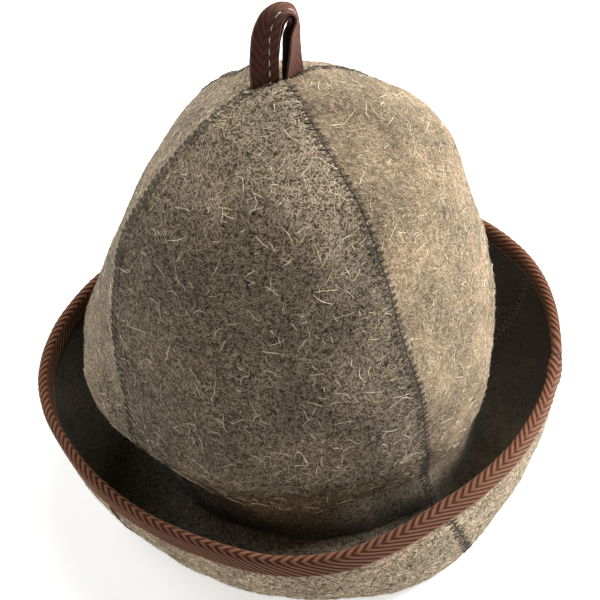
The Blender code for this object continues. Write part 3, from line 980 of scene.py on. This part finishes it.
Strand = namedtuple("Strand", "longest shortest points bend thickest thinnest")
HAIR = Strand(10.0, 2.2, 9, 0.6, 0.25, 0.12)
FUZZ = Strand(4.5, 1.2, 4, 1.0, 0.19, 0.10)
STRAND_LIFT = 0.8  # how far off the felt a strand's ends may stand
SHORT_MORE = 1.8  # above 1, more strands are short than long
CURL, KINK = 0.9, 1.0  # how far a strand turns along its length, and at one point of it
END_TAPER = 0.65
FULL_WIDTH = 160.0  # fewer strands are kept where a gore is narrower than this
ON_CROWN, ON_BRIM = (0.02, 0.86), (1.9, 2.93)  # the places that strands grow at
CROWN_END = 0.88  # the place past which none reaches down into the gap
TIP_CLEAR, TAPE_CLEAR = 4.0, 11.0  # how far they stop short of the tip and of the rim
BRIM_HAIRS = 200
CROWN_FUZZ, BRIM_FUZZ, DARK_SHARE = 2300, 1400, 0.6


def scatter(dice, count, gore, kind, face):
    """Curved strands that lie over one gore, every way, and how thick each one is along its length."""
    share = dice.uniform(0.015, 0.985, count)
    place = dice.uniform(*(ON_CROWN if face > 0 else ON_BRIM), count)
    width = np.linalg.norm(felt_middle(gore + 1.0, place) - felt_middle(float(gore), place), axis=-1)
    keep = dice.uniform(0, 1, count) < width / FULL_WIDTH
    share, place, width = share[keep], place[keep], width[keep]
    number = len(place)
    length = kind.shortest + (kind.longest - kind.shortest) * dice.uniform(0, 1, number) ** SHORT_MORE
    angle, curl = dice.uniform(0, 2 * pi, number), kind.bend * dice.normal(0, CURL, number)
    part = np.linspace(-0.5, 0.5, kind.points)
    kink = kind.bend * dice.normal(0, KINK, (number, 1)) * (part > dice.uniform(-0.4, 0.4, (number, 1)))
    way = angle[:, None] + curl[:, None] * part + kink
    step = length[:, None] / (kind.points - 1)
    aside = np.cumsum(np.cos(way) * step, axis=1)
    down = np.cumsum(np.sin(way) * step, axis=1)
    here = np.clip(share[:, None] + (aside - aside[:, :1]) / width[:, None], 0.002, 0.998)
    run = lengths(felt_middle(gore + 0.5, fine_places))
    at = np.interp(place, fine_places, run)[:, None] + down - down[:, :1]
    lowest = np.interp(CROWN_END, fine_places, run) if face > 0 else run[-1] - TAPE_CLEAR
    at = np.interp(np.clip(at, TIP_CLEAR, lowest), run, fine_places)
    up = STRAND_LIFT * dice.uniform(0.1, 1.0, (number, 1)) * (np.abs(2 * part) ** 2 + 0.08)
    lines = felt_at(gore + here, at, face * (FELT_THICKNESS / 2 + up))
    thickness = dice.uniform(kind.thinnest, kind.thickest, number)[:, None]
    return lines, thickness / 2 * (1 - END_TAPER * np.linspace(-1, 1, kind.points) ** 4)


def grow(name, dice, counts, kind, material):
    """One piece of strands, from how many grow on each gore's crown and on its brim's outside."""
    grown = [scatter(dice, count, gore, kind, face)
             for gore, both in counts.items() for face, count in zip((1, -1), both)]
    lines, radii = (np.concatenate(parts) for parts in zip(*grown))
    new_piece(strands(name, lines, radii), material, slot="felt")


def guard_hairs():
    """About two thousand pale hairs, up to a centimetre long."""
    counts = {number: (gore.hairs, BRIM_HAIRS) for number, gore in enumerate(GORES)}
    grow("guard_hairs", np.random.default_rng(31), counts, HAIR, pale_hair)


def wool_fuzz():
    """Short curved wool that stands off the felt all over."""
    dice = np.random.default_rng(41)
    for name, material, share in (("light", light_fuzz, 1.0), ("dark", dark_fuzz, DARK_SHARE)):
        for number, gore in enumerate(GORES):
            counts = {number: (int(CROWN_FUZZ * share), int(BRIM_FUZZ * share))}
            grow(f"{name}_fuzz_{gore.name}", dice, counts, FUZZ, material)


guard_hairs()
wool_fuzz()


# Floor, light and camera, in metres and degrees

FLOOR_HALF = 4.0
Lamp = namedtuple("Lamp", "name heading elevation distance size power colour")
LAMPS = (
    Lamp("right", 99, 37, 1.3, 0.7, 39.0, (0.96, 0.98, 1.0)),
    Lamp("back_left", 243, 34, 1.4, 0.7, 12.0, (0.93, 0.98, 1.0)),
    Lamp("behind", 170, 50, 1.5, 0.8, 22.0, (1.0, 0.97, 0.92)),
)
LAMPS_AIM = 0.1  # the height that they point at
CAMERA_RISE, CAMERA_ROLL, CAMERA_DISTANCE = 43, 3.8, 0.6225
CAMERA_AIM_RIGHT, CAMERA_AIM_UP = 0.0009, 0.088


def studio():
    """A pale floor, soft lights from above and behind, and a camera at the photograph's angle."""
    material, _, _ = new_material("pale_floor", roughness=0.9, base_color=(0.5, 0.5, 0.5, 1),
                                  emission_color=(1.0, 1.0, 1.0, 1), emission_strength=0.65)
    mesh = bmesh.new()
    bmesh.ops.create_grid(mesh, x_segments=1, y_segments=1, size=FLOOR_HALF)
    placed(finished(mesh, "floor"), material)

    bpy.context.scene.view_settings.view_transform = "Standard"
    world = bpy.data.worlds.new("soft_room")
    world.use_nodes = True
    fill(world.node_tree, world.node_tree.nodes["Background"],
         {"Color": (1.0, 0.91, 0.76, 1), "Strength": 0.21})
    bpy.context.scene.world = world
    for lamp in LAMPS:
        light = bpy.data.lights.new(lamp.name, "AREA")
        light.energy, light.size, light.color = lamp.power, lamp.size, lamp.colour
        holder = bpy.data.objects.new(lamp.name, light)
        heading, rise = radians(lamp.heading), radians(lamp.elevation)
        out = Vector((sin(heading) * cos(rise), -cos(heading) * cos(rise), sin(rise)))
        holder.location = out * lamp.distance + Vector((0, 0, LAMPS_AIM))
        holder.rotation_mode = "QUATERNION"
        holder.rotation_quaternion = out.to_track_quat("Z", "Y")
        bpy.context.collection.objects.link(holder)

    rise, roll = radians(CAMERA_RISE), radians(CAMERA_ROLL)
    ahead = Vector((0, cos(rise), -sin(rise)))
    up, right = Vector((0, sin(rise), cos(rise))), Vector((1, 0, 0))
    camera_up = up * cos(roll) + right * sin(roll)
    camera_right = right * cos(roll) - up * sin(roll)
    target = Vector((CAMERA_AIM_RIGHT + CENTRE_RIGHT * MM, CENTRE_BACK * MM, CAMERA_AIM_UP))
    lens = bpy.data.cameras.new("camera")
    lens.lens, lens.sensor_width = 75.48, 36.0
    camera = bpy.data.objects.new("camera", lens)
    turned = Matrix((camera_right, camera_up, -ahead)).transposed().to_4x4()
    turned.translation = target - ahead * CAMERA_DISTANCE
    camera.matrix_world = turned
    bpy.context.collection.objects.link(camera)
    bpy.context.scene.camera = camera


studio()
